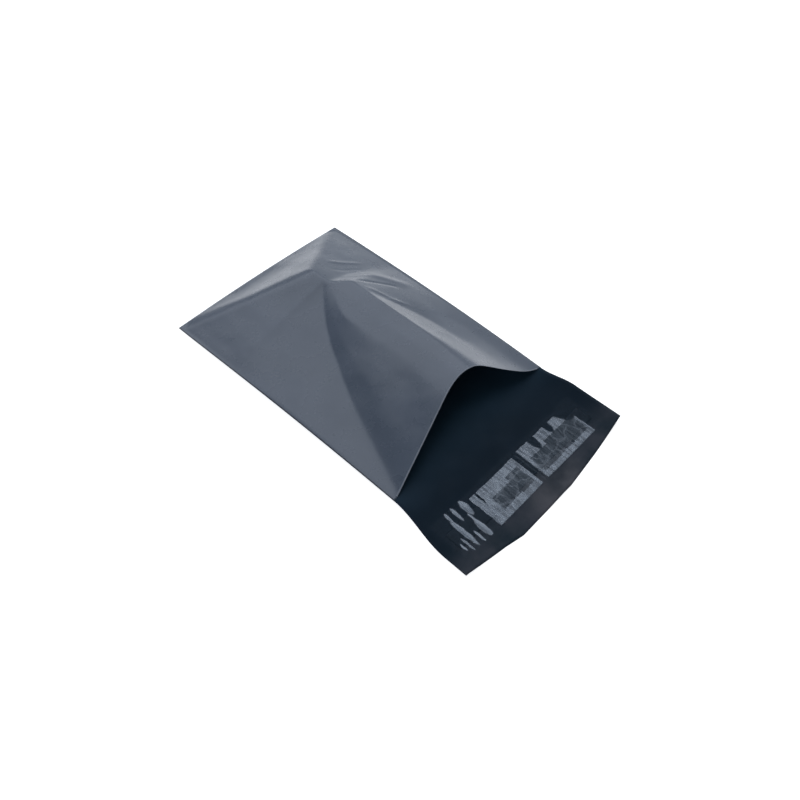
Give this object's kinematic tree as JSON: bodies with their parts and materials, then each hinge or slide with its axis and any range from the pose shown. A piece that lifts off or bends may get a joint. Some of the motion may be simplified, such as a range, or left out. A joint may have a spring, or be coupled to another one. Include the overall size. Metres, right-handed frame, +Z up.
{
  "type": "mailing bag",
  "caption": "Flat poly mailing bag lying with its mouth propped open and a self-seal lip, for posting soft goods.",
  "frame": {"origin": "on the surface the bag lies on, under the middle of its bounding box", "axes": "+X across the bag, +Y along it towards the folded bottom end, so the lip points to -Y, +Z up"},
  "size_m": [0.165, 0.303, 0.0355],
  "materials": {
    "film": "satin",
    "adhesive": "satin",
    "liner": "gloss"
  },
  "bodies": {
    "root": {"bag_film": "film", "adhesive_strip": "adhesive", "release_liner": "liner"}
  },
  "joints": []
}
